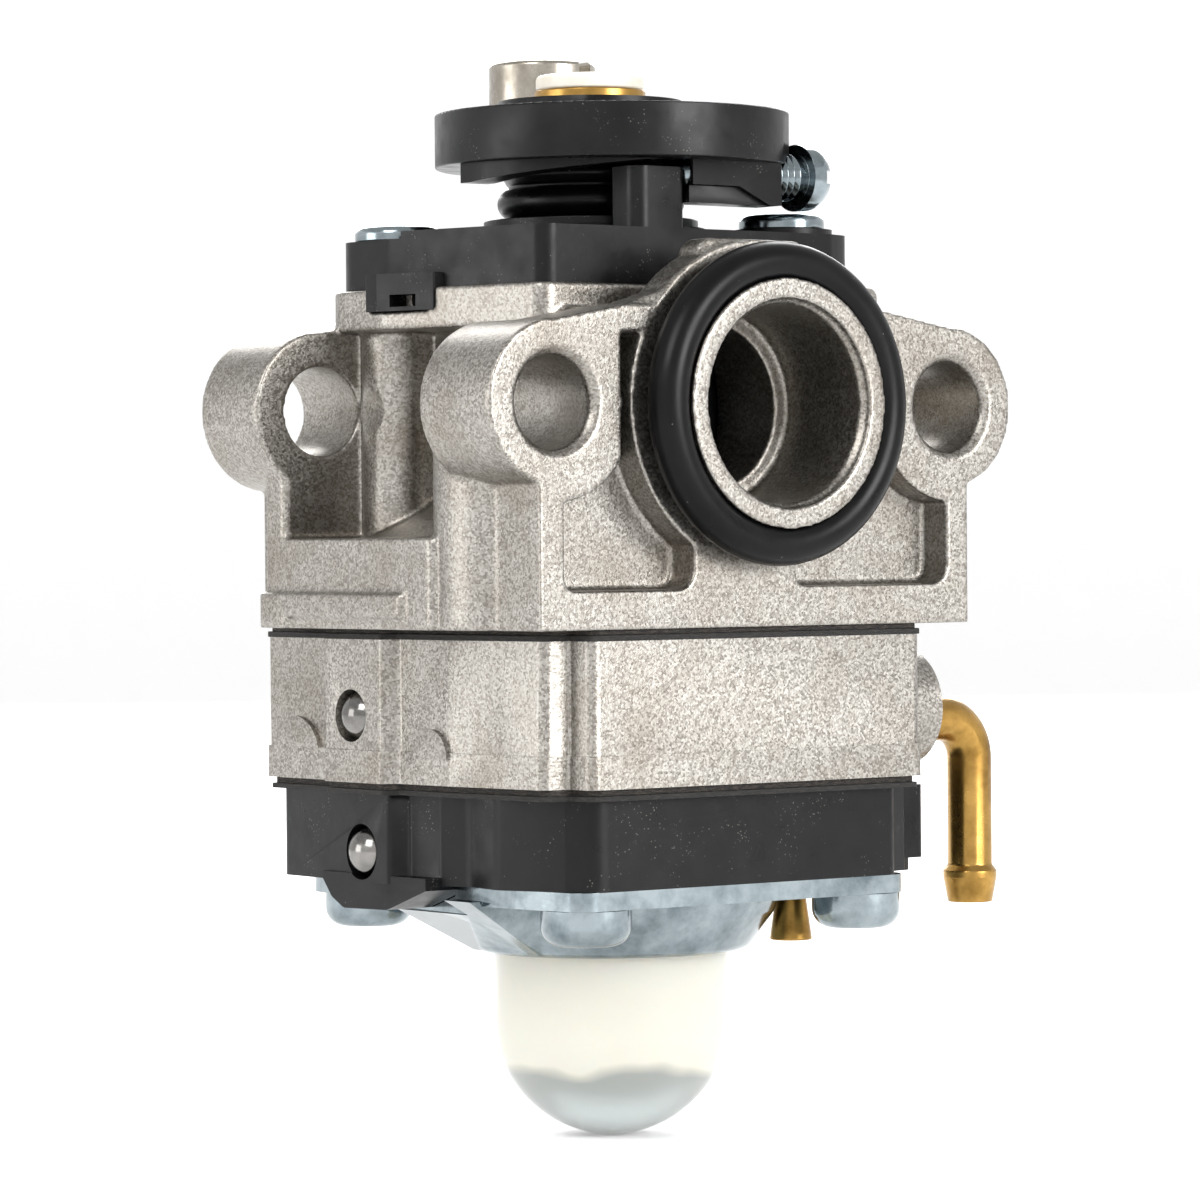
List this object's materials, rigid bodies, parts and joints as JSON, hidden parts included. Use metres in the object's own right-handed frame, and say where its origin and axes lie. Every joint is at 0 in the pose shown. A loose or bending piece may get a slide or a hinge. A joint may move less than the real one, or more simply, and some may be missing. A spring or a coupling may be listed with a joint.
{
  "type": "carburetor",
  "caption": "Small diaphragm carburetor with a rotary throttle barrel, cam-lifted lever, squeeze primer bulb, fuel elbow and sealed intake spigot.",
  "frame": {"origin": "on the axis of the intake bore, in the plane of the intake ears", "axes": "+Y along the bore from the intake towards the engine, +Z along the throttle barrel towards the lever, +X to the side with the fuel inlet elbow"},
  "size_m": [0.0444, 0.0332, 0.0678],
  "materials": {
    "cast_aluminium": "die-cast, vibratory finished, satin",
    "black_plastic": "moulded, semi-gloss",
    "gasket_paper": "fibre gasket",
    "diaphragm_film": "coated fabric",
    "zinc_steel": "bright zinc plated",
    "steel": "ground, bright",
    "nickel_steel": "nickel plated, turned",
    "brass": "turned, bright",
    "black_rubber": "moulded nitrile",
    "milky_polyurethane": "clear-milky moulded",
    "white_nylon": "moulded, natural",
    "rivet_aluminium": "stamped"
  },
  "bodies": {
    "root": {"main_body": "cast_aluminium", "metering_body": "cast_aluminium", "purge_body": "black_plastic", "throttle_cover": "black_plastic", "boot_washer": "black_plastic", "pump_gasket": "gasket_paper", "metering_gasket": "gasket_paper", "pump_diaphragm": "diaphragm_film", "metering_diaphragm": "diaphragm_film", "retainer_plate": "zinc_steel", "retainer_screws": "zinc_steel", "cover_screws": "zinc_steel", "metering_plug_ball": "steel", "purge_plug_ball": "steel", "cam_ball": "steel", "lever_pin": "steel", "pin_screw": "steel", "lever_spring": "steel", "inlet_screen": "steel", "fuel_inlet_elbow": "brass", "return_fitting": "brass", "main_nozzle": "brass", "main_jet": "brass", "spigot_o_ring": "black_rubber", "dust_boot": "black_rubber", "nozzle_o_ring": "black_rubber", "primer_check_valve": "black_rubber"},
    "throttle_carrier": {"spring_washer": "white_nylon", "return_spring": "steel"},
    "throttle": {"throttle_barrel": "black_plastic", "throttle_lever": "black_plastic", "lever_cam": "black_plastic"},
    "cable_pivot": {"cable_swivel": "nickel_steel", "swivel_clip": "steel"},
    "idle_screw": {"idle_speed_screw": "zinc_steel"},
    "mixture_needle": {"mixture_sleeve": "brass", "limiter_cap": "white_nylon", "metering_needle": "steel"},
    "primer": {"primer_bulb": "milky_polyurethane"},
    "diaphragm_centre": {"diaphragm_rivet": "rivet_aluminium"},
    "needle_lever": {"metering_lever": "steel"},
    "inlet_valve": {"inlet_needle": "brass"}
  },
  "joints": [
    {"name": "throttle_turn", "type": "hinge", "parent": "root", "child": "throttle_carrier", "pos_m": [0, 0.0165, 0.012], "axis": [0, 0, 1], "range_deg": [0, 75], "stiffness_Nm_per_rad": 0.01, "springref_deg": -17.19},
    {"name": "throttle_lift", "type": "slide", "parent": "throttle_carrier", "child": "throttle", "axis": [0, 0, 1], "range_m": [0, 0.0012], "deforming": ["return_spring", "dust_boot"]},
    {"name": "cable_swivel_turn", "type": "hinge", "parent": "throttle", "child": "cable_pivot", "pos_m": [0.0015, 0.0234, 0.019], "axis": [0, 0, 1], "range_deg": [-60, 60]},
    {"name": "idle_screw_turn", "type": "hinge", "parent": "throttle", "child": "idle_screw", "pos_m": [0.005, 0.0082, 0.0145], "axis": [1, 0, 0], "range_deg": [-180, 180]},
    {"name": "mixture_turn", "type": "hinge", "parent": "throttle", "child": "mixture_needle", "pos_m": [0, 0.0165, 0.02], "axis": [0, 0, 1], "range_deg": [-45, 45]},
    {"name": "primer_press", "type": "slide", "parent": "root", "child": "primer", "axis": [0, 0, 1], "range_m": [0, 0.006], "stiffness_N_per_m": 400, "deforming": ["primer_bulb"]},
    {"name": "diaphragm_slide", "type": "slide", "parent": "root", "child": "diaphragm_centre", "axis": [0, 0, 1], "range_m": [0, 0.0006], "stiffness_N_per_m": 200, "deforming": ["metering_diaphragm"]},
    {"name": "metering_lever_tilt", "type": "hinge", "parent": "root", "child": "needle_lever", "pos_m": [0.0026, 0.013, -0.0207], "axis": [0, 1, 0], "range_deg": [0, 8], "deforming": ["lever_spring"]},
    {"name": "inlet_needle_slide", "type": "slide", "parent": "root", "child": "inlet_valve", "axis": [0, 0, 1], "range_m": [-0.0005, 0]}
  ],
  "couplings": [
    {"joint": "throttle_lift", "follows": "throttle_turn", "m_per_rad": 0.000916},
    {"joint": "metering_lever_tilt", "follows": "diaphragm_slide", "rad_per_m": 229.9},
    {"joint": "inlet_needle_slide", "follows": "diaphragm_slide", "ratio": -0.8276}
  ]
}
